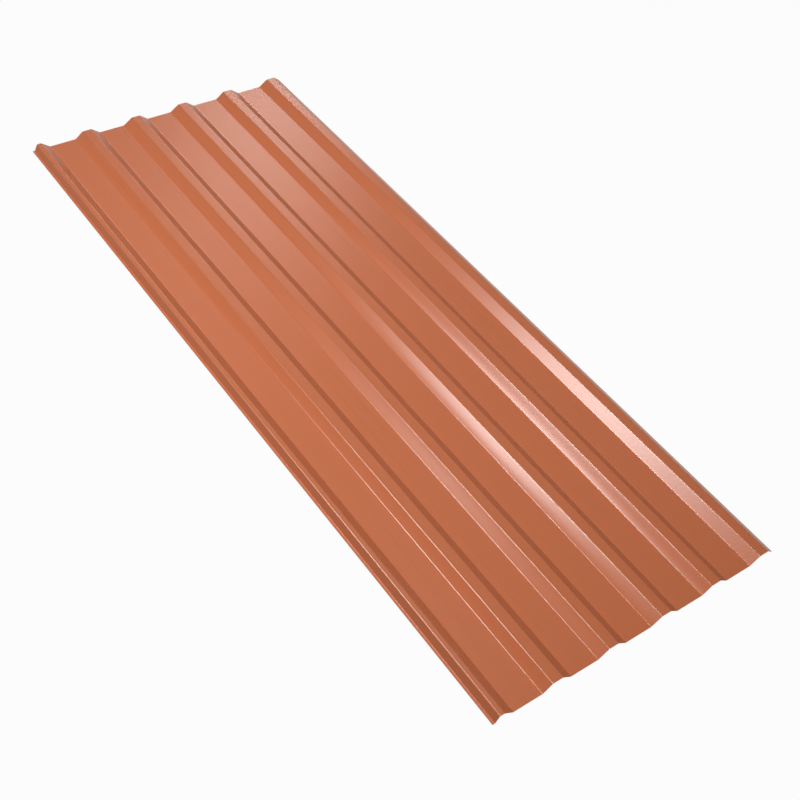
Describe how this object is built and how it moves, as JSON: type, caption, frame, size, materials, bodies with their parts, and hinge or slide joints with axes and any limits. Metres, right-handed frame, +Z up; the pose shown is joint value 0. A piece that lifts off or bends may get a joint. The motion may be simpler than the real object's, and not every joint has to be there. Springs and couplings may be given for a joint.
{
  "type": "box profile roofing sheet",
  "caption": "Long colour-coated steel roofing sheet with trapezoidal ribs, plain flat pans, an underlap edge with a support leg and an overlap edge.",
  "frame": {"origin": "centre of the middle pan's underside, halfway along the sheet", "axes": "+Y along the ribs, +X across them from the underlap edge to the overlap edge, +Z up, out of the weather side"},
  "size_m": [1.0596, 2.75, 0.0257],
  "materials": {
    "coated_steel": "terracotta plastisol coating, semi-gloss"
  },
  "bodies": {
    "root": {"box_profile_sheet": "coated_steel"}
  },
  "joints": []
}
